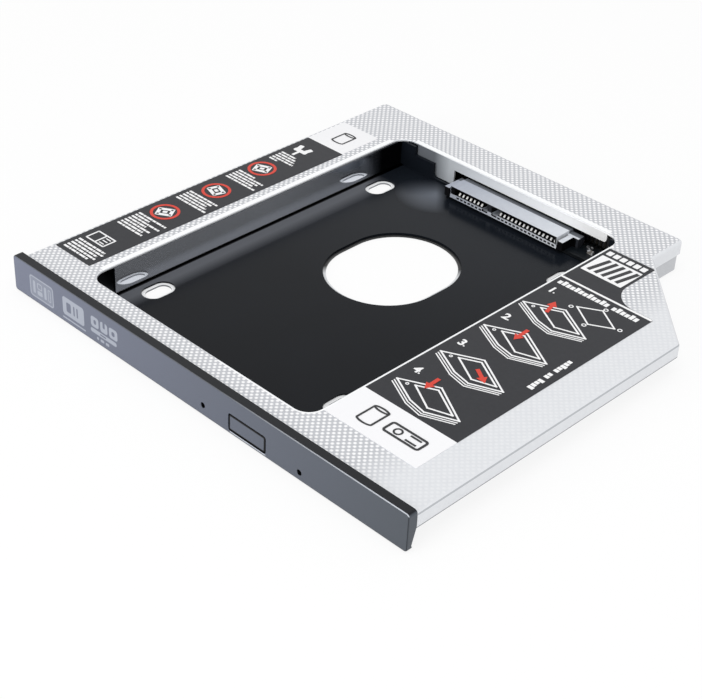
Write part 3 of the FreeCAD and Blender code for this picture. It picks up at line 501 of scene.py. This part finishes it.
# each shape's low and high x, low and high z, corner and line width, where a line width of 0 fills the shape,
# and the gaps that the ink leaves bare
first_mark = (-57.7, -48.6, 1.5, 7.2, 0.9)
marks = [
    (*first_mark, 0.35),
    (-56.5, -55.6, 2.6, 6.0, 0.3, 0),
    (-54.9, -52.9, 4.2, 6.0, 0.5, 0.35),
    (-54.9, -52.9, 2.6, 3.9, 0.4, 0),
    (-52.2, -51.3, 2.6, 6.0, 0.3, 0),
    (-50.7, -49.6, 2.6, 6.0, 0.4, 0.3),
    (-45.0, -37.0, 2.3, 7.2, 0.8, 0),
    (-45.2, -36.6, 1.2, 1.6, 0.2, 0),
    (-34.4, -31.6, 4.2, 7.0, 0.7, 0),
    (-31.0, -28.4, 4.2, 7.0, 0.7, 0),
    (-27.8, -24.8, 4.2, 7.0, 0.7, 0),
    (-34.6, -25.2, 2.6, 3.7, 0.55, 0),
    (-32.4, -31.7, 1.3, 2.0, 0.2, 0),
    (-31.1, -29.8, 1.3, 2.0, 0.2, 0),
    (-29.2, -28.0, 1.3, 2.0, 0.2, 0),
]
gaps = [
    (-43.6, -41.9, 3.4, 6.0, 0.4, 0.5),
    (-41.0, -40.5, 3.4, 6.0, 0.2, 0),
    (-39.8, -39.3, 3.4, 6.0, 0.2, 0),
    (-33.4, -32.5, 5.0, 6.2, 0.4, 0),
    (-30.1, -29.3, 5.4, 7.4, 0.3, 0),
    (-26.9, -25.8, 5.0, 6.2, 0.4, 0),
    (-31.2, -29.0, 2.95, 3.35, 0.2, 0),
]
button_gap = (12.45, 23.85, 1.0, 5.2, 0.7, 0.5)
button_lip = (12.9, 23.9, 0.5, 0.75, 0.12, 0)
ink_edge = (-0.06, 0.06)
haze_edge = (-0.2, 0.2)
ink_share = 0.8
haze_share = 0.3
lip_share = 0.8
foot_share = 0.85
opening_x = (3.0, 35.2)
opening_z = (0.6, 5.6)
opening_front = -63.3
highlight_foot = 7.0
edge_highlight_span = (10.0, 60.0)
foot_line = (0.15, 0.4)
peel_size = 0.714
peel_height = 0.04
bezel_left, bezel_right = (corner[0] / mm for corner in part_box("front_bezel"))


# How far a place on the face is from the nearest shape's edge, less than nothing inside it
def edge_distance(tree, across, shapes):
    nearest = None
    for low_x, high_x, low_z, high_z, corner, line in shapes:
        middle = ((low_x + high_x) / 2, 0, (low_z + high_z) / 2)
        half = ((high_x - low_x) / 2 - corner, 0, (high_z - low_z) / 2 - corner)
        reach = work_out(tree, "ShaderNodeVectorMath", across, ("SUBTRACT", middle), ("ABSOLUTE",),
                         ("SUBTRACT", half), ("MAXIMUM", (0, 0, 0)), ("LENGTH",))
        edge = work_out(tree, "ShaderNodeMath", reach, ("SUBTRACT", corner - line / 2))
        if line:
            edge = work_out(tree, "ShaderNodeMath", edge, ("ABSOLUTE",), ("SUBTRACT", line / 2))
        nearest = edge if nearest is None else work_out(tree, "ShaderNodeMath", nearest, ("MINIMUM", edge))
    return nearest


# Satin black ABS: the eye gets a cool slate face, which is painted light, a black top and a fine orange-peel
# skin
slate_face = new_finish("black_abs_with_painted_lit_face")
tree = slate_face.node_tree
surface = read_surface(tree)
in_mm = surface["in_mm"]
facing_front = (None, -0.9)
across = work_out(tree, "ShaderNodeVectorMath", in_mm, ("MULTIPLY", (1, 0, 1)))
surface["sideways"] = work_out(tree, "ShaderNodeMath", surface["nx"], ("ABSOLUTE",))
for name, shapes in (("bare", gaps), ("marks", marks), ("haze", [(*first_mark, 0)]), ("lip", [button_lip]),
                     ("slit", [button_gap])):
    surface[name] = edge_distance(tree, across, shapes)
outside_bare = work_out(tree, "ShaderNodeMath", surface["bare"], ("MULTIPLY", -1.0))
surface["ink"] = any_of(tree, surface["marks"], outside_bare)
# the front face and the ends are painted slate grey, painted light on the black, darker towards the right
lit_front = any_of(tree, patch(tree, surface, ny=(None, (-0.98, -0.75))),
                   patch(tree, surface, sideways=((0.6, 0.9), None)))
to_right = patch(tree, surface, x=((bezel_left, bezel_right), None))
printed = any_of(tree, patch(tree, surface, ink_share, ink=(None, ink_edge), ny=facing_front),
                 patch(tree, surface, haze_share, haze=(None, haze_edge), ny=facing_front))
# the rounded edge between face and top carries a painted highlight, brighter towards the right
highlight_strength = add_node(tree, "ShaderNodeMapRange", {"Value": surface["x"], "From Min": edge_highlight_span[0],
                "From Max": edge_highlight_span[1], "To Min": 0.15, "To Max": 0.8}).outputs[0]
edge_highlight = patch(tree, surface, highlight_strength, ny=(-0.9, -0.4), nz=(0.3, None), z=(highlight_foot, None))
# a thin dark line runs along the face's foot
foot = patch(tree, surface, foot_share, z=(None, foot_line))
# the button's gap and the two small holes are painted black inside, a painted shade, and the gap's lower lip
# carries a painted highlight
lip = patch(tree, surface, lip_share, lip=(None, ink_edge))
gap_shade = any_of(tree, patch(tree, surface, slit=(None, ink_edge)),
              patch(tree, surface, x=opening_x, z=opening_z, y=(opening_front, None)))
face = coats(tree, "6c7182", (to_right, "494e55"), (printed, "a5aab5"))
paint = coats(tree, "15171b", (lit_front, face), (edge_highlight, "c4c8d0"), (foot, "17171a"), (lip, "c9cdd4"),
              (gap_shade, "09090b"))
peel = add_node(tree, "ShaderNodeTexNoise", {"Vector": in_mm, "Scale": 1 / peel_size,
                "Detail": 3.0}).outputs["Fac"]
skin = add_node(tree, "ShaderNodeBump", {"Height": peel, "Strength": 0.06,
                "Distance": peel_height * mm}).outputs[0]
shade(tree, {"Base Color": paint, "Roughness": 0.34, "IOR": 1.5, "Specular IOR Level": 0.2, "Normal": skin})
dress(slate_face, "front_bezel", "eject_button")


# Both labels are polyester film printed dark grey, with white ends. The film itself is the CAD piece, and the
# print is laid on it as thin ink: small blocks for the lines of text, and simple pictures.
film_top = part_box("left_label")[1][2]
left_white_start = 32.0
right_white_end = -38.9
ink_lift = 0.01
second_lift = 0.045
ink_thickness = 0.03
ink_levels = itertools.cycle((0, 0.002, 0.004, 0.006, 0.008, 0.010))
screen_size = 0.909
ink_cloud_size = 1.11
thin_ink = 0.93

# Printed polyester: the eye gets a dark grey satin film, a little uneven from the screen, and white ends
dark_film = new_finish("printed_polyester_film")
tree = dark_film.node_tree
surface = read_surface(tree)
screen = add_node(tree, "ShaderNodeTexNoise", {"Vector": surface["in_mm"], "Scale": 1 / screen_size,
                  "Detail": 2.0}).outputs["Fac"]
white_ends = any_of(tree, patch(tree, surface, x=(None, 0.0), y=(left_white_start, None)),
                    patch(tree, surface, x=(0.0, None), y=(None, right_white_end)))
paint = coats(tree, "242529", (screen, "2d2e32"), (white_ends, "f0f0f2"))
shade(tree, {"Base Color": paint, "Roughness": 0.45, "Specular IOR Level": 0.25})
dress(dark_film, "left_label", "right_label")

# Screen-printing ink: the eye gets a flat dull colour, a little thinner in places
inks = {}
for name, code, roughness in (("white", "f6f6f7", 0.55), ("black", "1f2023", 0.5), ("red", "d43a28", 0.5)):
    inks[name] = new_finish(name + "_screen_printing_ink")
    tree = inks[name].node_tree
    in_mm = place_in_mm(tree)
    cover = add_node(tree, "ShaderNodeTexNoise", {"Vector": in_mm, "Scale": 1 / ink_cloud_size,
                     "Detail": 3.0}).outputs["Fac"]
    thin = tuple(part * thin_ink for part in linear(code)[:3]) + (1.0,)
    shade(tree, {"Base Color": coats(tree, thin, (cover, code)), "Roughness": roughness})


# A print is drawn flat, in edit mode, in millimetres, then given the ink's thickness and laid on the film
def start_print(name):
    bpy.ops.object.select_all(action="DESELECT")
    bpy.ops.mesh.primitive_plane_add(size=1, enter_editmode=True)
    bpy.context.object.name = name
    bpy.context.object.data.name = name
    bpy.ops.mesh.delete(type="VERT")


# A tile of ink: its low and high x, low and high y, the cut of its corners, and its turn in degrees
def ink_tile(x0, x1, y0, y1, corner=0.0, turn=0.0):
    centre = ((x0 + x1) / 2, (y0 + y1) / 2, next(ink_levels))
    bpy.ops.mesh.select_all(action="DESELECT")
    bpy.ops.mesh.primitive_plane_add(size=1, location=centre)
    bpy.ops.transform.resize(value=(x1 - x0, y1 - y0, 1), center_override=centre)
    if turn:
        bpy.ops.transform.rotate(value=-math.radians(turn), orient_axis="Z", center_override=centre)
    if corner:
        bpy.ops.mesh.bevel(offset=corner, segments=4, affect="VERTICES")


def ink_line(start, end, width):
    reach = math.dist(start, end) + width
    x = (start[0] + end[0]) / 2
    y = (start[1] + end[1]) / 2
    turn = math.degrees(math.atan2(end[1] - start[1], end[0] - start[0]))
    ink_tile(x - reach / 2, x + reach / 2, y - width / 2, y + width / 2, turn=turn)


def ink_loop(points, width):
    for start, end in zip(points, points[1:] + points[:1]):
        ink_line(start, end, width)


def ink_frame(x0, x1, y0, y1, width, corner=0.0, turn=0.0):
    ink_tile(x0, x1, y0, y1, corner, turn)
    bpy.ops.mesh.inset(thickness=width, depth=0)
    bpy.ops.mesh.delete(type="FACE")


def ink_ring(x, y, radius, width, flatness=1.0, lower_only=False):
    centre = (x, y, next(ink_levels))
    bpy.ops.mesh.select_all(action="DESELECT")
    bpy.ops.mesh.primitive_circle_add(vertices=40, radius=radius, fill_type="NGON", location=centre)
    bpy.ops.transform.resize(value=(1, flatness, 1), center_override=centre)
    bpy.ops.mesh.inset(thickness=width, depth=0)
    bpy.ops.mesh.delete(type="FACE")
    if lower_only:
        sheet = bmesh.from_edit_mesh(bpy.context.object.data)
        for face in sheet.faces:
            middle = face.calc_center_median()
            near = math.dist(middle[:2], (x, y)) < radius + width
            face.select_set(near and middle[1] > y)
        bmesh.update_edit_mesh(bpy.context.object.data)
        bpy.ops.mesh.delete(type="FACE")


# A drum, the plain sign for a disk: a flat ring on top, two sides and the lower half of a second ring
def ink_drum(x0, x1, y0, y1, width, flatness=0.34):
    x = (x0 + x1) / 2
    radius = (x1 - x0) / 2
    drop = radius * flatness
    ink_ring(x, y0 + drop, radius, width, flatness, lower_only=True)
    ink_ring(x, y1 - drop, radius, width, flatness)
    for side in (x0 + width / 2, x1 - width / 2):
        ink_tile(side - width / 2, side + width / 2, y0 + drop, y1 - drop)


# Blocks in place of lettering: one block for each letter, in words of the given lengths
def ink_words(x, y, words, letter, height, gap, upright=False):
    start = 0.0
    for word in words:
        for index in range(word):
            tall = height * (0.72, 1.0, 0.8)[(index + word) % 3]
            if upright:
                ink_tile(x - height, x - height + tall, y + start, y + start + letter)
            else:
                ink_tile(x + start, x + start + letter, y, y + tall)
            start += letter + gap
        start += letter


def finish_print(ink, lift=ink_lift):
    bpy.ops.mesh.select_all(action="SELECT")
    bpy.ops.mesh.extrude_region_move(TRANSFORM_OT_translate={"value": (0, 0, ink_thickness)})
    bpy.ops.mesh.select_all(action="SELECT")
    bpy.ops.mesh.normals_make_consistent(inside=False)
    bpy.ops.object.mode_set(mode="OBJECT")
    piece = bpy.context.object
    piece.data.transform(Matrix.Translation((0, 0, film_top + lift * mm)) @ Matrix.Scale(mm, 4))
    piece.data.materials.append(inks[ink])
    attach(piece, "caddy")


# The left label runs from its white rear end to the front: a drum, a fork spanner, three ringed pictures and
# an open book. Between them stand rows of blocks for the lines of text.
spanner = [
    (-58.1, -57.3, 21.9, 24.6),
    (-59.9, -55.5, 24.2, 25.6, 0.4),
    (-59.9, -58.5, 25.0, 27.5, 0.35, 14),
    (-56.9, -55.5, 25.0, 27.5, 0.35, -14),
]
text_start = -60.7
# the place of each paragraph's first line, and how far each of its lines reaches
text_rows = [
    (20.9, (5.3, 6.2, 6.9, 7.6, 3.0)),
    (5.6, (6.0, 10.2, 9.4, 8.7, 10.6)),
    (-11.2, (10.4, 9.6, 8.8, 9.8, 10.9)),
    (-27.8, (10.2, 5.3, 10.3, 6.7, 9.5, 8.1, 9.2)),
    (-46.4, (9.9, 10.5, 9.7, 10.4, 9.0)),
]
row_pitch = 1.12
row_height = 0.62
word_lengths = (1.6, 0.9, 2.1, 1.2, 1.8, 0.7)
word_gap = 0.22
pictures = [(-57.3, 10.6, 24), (-56.4, -6.1, -18), (-56.7, -22.8, 32)]
picture_x = 2.2
picture_y = 1.8
picture_line = 0.95
picture_corner = 0.3
middle_x = 0.6
middle_y = 0.45
middle_corner = 0.1
ring_radius = 3.8
ring_line = 0.75
left_drum = (-57.3, -52.9, 35.4, 41.8, 0.45)
pages = [(-60.3, -56.7), (-57.1, -53.5)]
page_y = (-44.9, -40.6)
page_line = 0.42
page_corner = 0.3
page_text = (-56.0, -54.6)
page_text_line = 0.34
page_text_low = -43.9
page_text_pitch = 1.1

start_print("left_label_white_print")
for tile in spanner:
    ink_tile(*tile)
for first, lengths in text_rows:
    for row, length in enumerate(lengths):
        y = first - row_pitch * row
        start = text_start
        words = itertools.cycle(word_lengths[row:] + word_lengths[:row])
        while start < text_start + length:
            word = min(next(words), text_start + length - start)
            ink_tile(start, start + word, y - row_height / 2, y + row_height / 2)
            start += word + word_gap
for x, y, turn in pictures:
    ink_frame(x - picture_x, x + picture_x, y - picture_y, y + picture_y, picture_line, picture_corner, turn)
    ink_tile(x - middle_x, x + middle_x, y - middle_y, y + middle_y, middle_corner, turn)
for page in pages:
    ink_frame(*page, *page_y, page_line, page_corner)
for row in range(3):
    y = page_text_low + page_text_pitch * row
    ink_line((page_text[0], y), (page_text[1], y), page_text_line)
finish_print("white")

start_print("left_label_red_rings")
for x, y, turn in pictures:
    ink_ring(x, y, ring_radius, ring_line)
finish_print("red")

start_print("left_label_black_print")
ink_drum(*left_drum)
finish_print("black", second_lift)


# The right label shows four numbered steps, each a plain line drawing of a flat open case with a red arrow.
# Its tab carries a panel of slanted contact strokes, and its front end is white, with a drum and a drive.
right_low, right_high = [tuple(value / mm for value in corner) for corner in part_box("right_label")]
shoulder = 28.0
margin = 0.05
shoulder_line = (0.75, 0.1)
tab_panel = (29.2, 41.0, 33.6, 42.4, 0.2)
tooth_pitch = 1.98
teeth = (29.3, 30.8, 43.3, 45.2, 0.2)
stroke_pitch = 2.05
strokes = (30.9, 32.0, 34.5, 41.6)
stroke_slant = -12
heading = (29.5, 24.4, (12, 6), 0.98, 1.9, 0.24)
side_note = (53.0, -13.4, (4, 2, 5), 0.95, 1.5, 0.22)
case_line = 0.42
cases = [(39.1, 11.4), (39.4, -2.7), (39.8, -17.7), (40.4, -32.3)]
cover_line = 0.4
cover_corners = [(39.2, 19.6), (44.3, 22.6), (50.6, 18.6), (45.4, 15.6)]
screw_places = [(38.2, 18.7), (44.6, 23.4), (51.8, 19.0), (45.0, 14.7)]
screw_radius = 0.6
screw_line = 0.26
number_places = [(30.0, 20.0), (30.2, 3.3), (30.4, -12.0), (30.8, -27.0)]
stop_start = 1.7
stop_size = 0.4
arrows = [(35.3, 15.0, 105, 4.2), (38.0, 1.0, -88, 4.4), (42.5, -17.7, -32, 4.4), (37.2, -27.5, -88, 3.8)]
right_drum = (34.3, 38.9, -48.5, -41.5, 0.5)
drive_frame = (40.8, 51.0, -47.2, -43.1, 0.6, 0.9)
drive_knob = (43.9, -45.15, 1.15, 0.45)
drive_lines = [(46.6, 49.6, -46.3, -45.8), (46.6, 49.6, -44.5, -44.0)]
arrow_line = 0.95
arrow_head = 1.45
neck_share = 0.1
head_lead = 0.75


# An open case drawn slantwise from its middle: the top's outline, two lower edges, the window and a screw
def case_drawing(x, y, line):
    left = (x - 9.6, y + 0.7)
    rear = (x - 0.7, y + 5.1)
    right = (x + 9.6, y - 0.9)
    front = (x + 2.5, y - 4.0)
    slant = (x - 2.3, y - 3.0)
    ink_loop([left, rear, right, front, slant], line)
    for drop in (0.8, 1.5):
        lowered = [(px, py - drop) for px, py in (left, slant, front, right)]
        for start, end in zip(lowered, lowered[1:]):
            ink_line(start, end, line * 0.7)
    ink_loop([(x - 5.2, y + 1.7), (x - 0.6, y + 4.0), (x + 7.4, y - 0.5), (x + 2.0, y - 2.4)], line)
    ink_ring(x - 6.8, y + 0.9, 0.45, 0.25)


start_print("right_label_white_print")
ink_tile(right_low[0] + margin, right_high[0] - margin, shoulder - shoulder_line[0],
         shoulder - shoulder_line[1])
ink_tile(*tab_panel)
for tooth in range(6):
    along = tooth_pitch * tooth
    ink_tile(teeth[0] + along, teeth[1] + along, *teeth[2:])
ink_words(*heading)
ink_words(*side_note, upright=True)
for x, y in cases:
    case_drawing(x, y, case_line)
ink_loop(cover_corners, cover_line)
for x, y in screw_places:
    ink_ring(x, y, screw_radius, screw_line)
for x, y in number_places:
    ink_tile(x + stop_start, x + stop_start + stop_size, y, y + stop_size)
finish_print("white")

start_print("right_label_black_print")
ink_drum(*right_drum)
ink_frame(*drive_frame)
ink_ring(*drive_knob)
for tile in drive_lines:
    ink_tile(*tile)
for stroke in range(5):
    along = stroke_pitch * stroke
    ink_tile(strokes[0] + along, strokes[1] + along, *strokes[2:], turn=stroke_slant)
finish_print("black", second_lift)


# An arrow from its middle, at an angle in degrees from the x axis: a line, with a triangle as its head
def ink_arrow(x, y, angle, length):
    along = Vector((math.cos(math.radians(angle)), math.sin(math.radians(angle)), 0))
    tail = Vector((x, y, 0)) - along * length / 2
    neck = Vector((x, y, 0)) + along * length * neck_share
    ink_line(tail[:2], neck[:2], arrow_line)
    bpy.ops.mesh.select_all(action="DESELECT")
    centre = neck + along * head_lead + Vector((0, 0, next(ink_levels)))
    bpy.ops.mesh.primitive_circle_add(vertices=3, radius=arrow_head, fill_type="NGON", location=centre)
    bpy.ops.transform.rotate(value=-math.radians(angle - 90), orient_axis="Z", center_override=centre)


start_print("right_label_red_arrows")
for arrow in arrows:
    ink_arrow(*arrow)
finish_print("red", second_lift)

# the step numbers are set in a plain typeface and laid on the film like the rest
numeral_height = 2.3
cap_share = 0.7
numeral_depth = 0.005
numeral_weight = 0.035
for number, (x, y) in enumerate(number_places, start=1):
    bpy.ops.object.select_all(action="DESELECT")
    bpy.ops.object.text_add(location=(0, 0, 0))
    numeral = bpy.context.object
    numeral.data.body = str(number)
    numeral.data.extrude = numeral_depth
    numeral.data.offset = numeral_weight
    bpy.ops.object.convert(target="MESH")
    numeral = bpy.context.object
    numeral.name = "step_number_%d" % number
    size = numeral_height / cap_share * mm
    low_corner = (x * mm, y * mm, film_top + 2 * ink_lift * mm)
    numeral.data.transform(Matrix.Translation(low_corner) @ Matrix.Scale(size, 4))
    numeral.data.materials.clear()
    numeral.data.materials.append(inks["white"])
    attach(numeral, "caddy")


# The studio is a sweep of matt white paper under a broad overhead light, with two low fills, in a white room.
# The paper and the room look white to the camera and in mirror images, and light the caddy only dimly.
floor_size = 6
floor_drop = 0.2
seen_white = 0.85
room_light = 0.6


def seen_rays(tree):
    rays = add_node(tree, "ShaderNodeLightPath").outputs
    return any_of(tree, rays["Is Camera Ray"], rays["Is Glossy Ray"], rays["Is Transmission Ray"])


bpy.ops.object.select_all(action="DESELECT")
bpy.ops.mesh.primitive_plane_add(size=floor_size, location=(0, 0, -floor_drop * mm))
floor = bpy.context.object
floor.name = "floor"
paper = new_finish("white_paper_sweep")
tree = paper.node_tree
lit = add_node(tree, "ShaderNodeBsdfDiffuse", {"Color": linear("f5f5f5")})
glow = add_node(tree, "ShaderNodeEmission", {"Color": linear("ffffff"), "Strength": 1.0})
share = work_out(tree, "ShaderNodeMath", seen_rays(tree), ("MULTIPLY", seen_white))
blend = add_node(tree, "ShaderNodeMixShader", {0: share, 1: lit.outputs[0], 2: glow.outputs[0]})
add_node(tree, "ShaderNodeOutputMaterial", {"Surface": blend.outputs[0]})
floor.data.materials.append(paper)

room = bpy.data.worlds.new("white_room")
bpy.context.scene.world = room
room.use_nodes = True
tree = room.node_tree
tree.nodes.clear()
dim = add_node(tree, "ShaderNodeBackground", {"Color": linear("ffffff"), "Strength": room_light})
white = add_node(tree, "ShaderNodeBackground", {"Color": linear("ffffff"), "Strength": 1.0})
blend = add_node(tree, "ShaderNodeMixShader", {0: seen_rays(tree), 1: dim.outputs[0], 2: white.outputs[0]})
add_node(tree, "ShaderNodeOutputWorld", {"Surface": blend.outputs[0]})

# the overhead light leaves no mirror image, or the cover's top would be a plain white from above
for name, place, size, watts, mirrored in (("overhead_softbox", (0.15, -0.15, 0.9), 0.7, 3.3, False),
                                           ("right_fill", (0.9, -0.35, 0.3), 0.6, 2.0, True),
                                           ("front_fill", (-0.2, -0.95, 0.25), 0.5, 4.2, True)):
    bpy.ops.object.light_add(type="AREA", location=place)
    lamp = bpy.context.object
    lamp.name = name
    lamp.data.size = size
    lamp.data.energy = watts
    lamp.visible_glossy = mirrored
    lamp.rotation_euler = (-Vector(place)).to_track_quat("-Z", "Y").to_euler()

bpy.context.scene.view_settings.view_transform = "Standard"
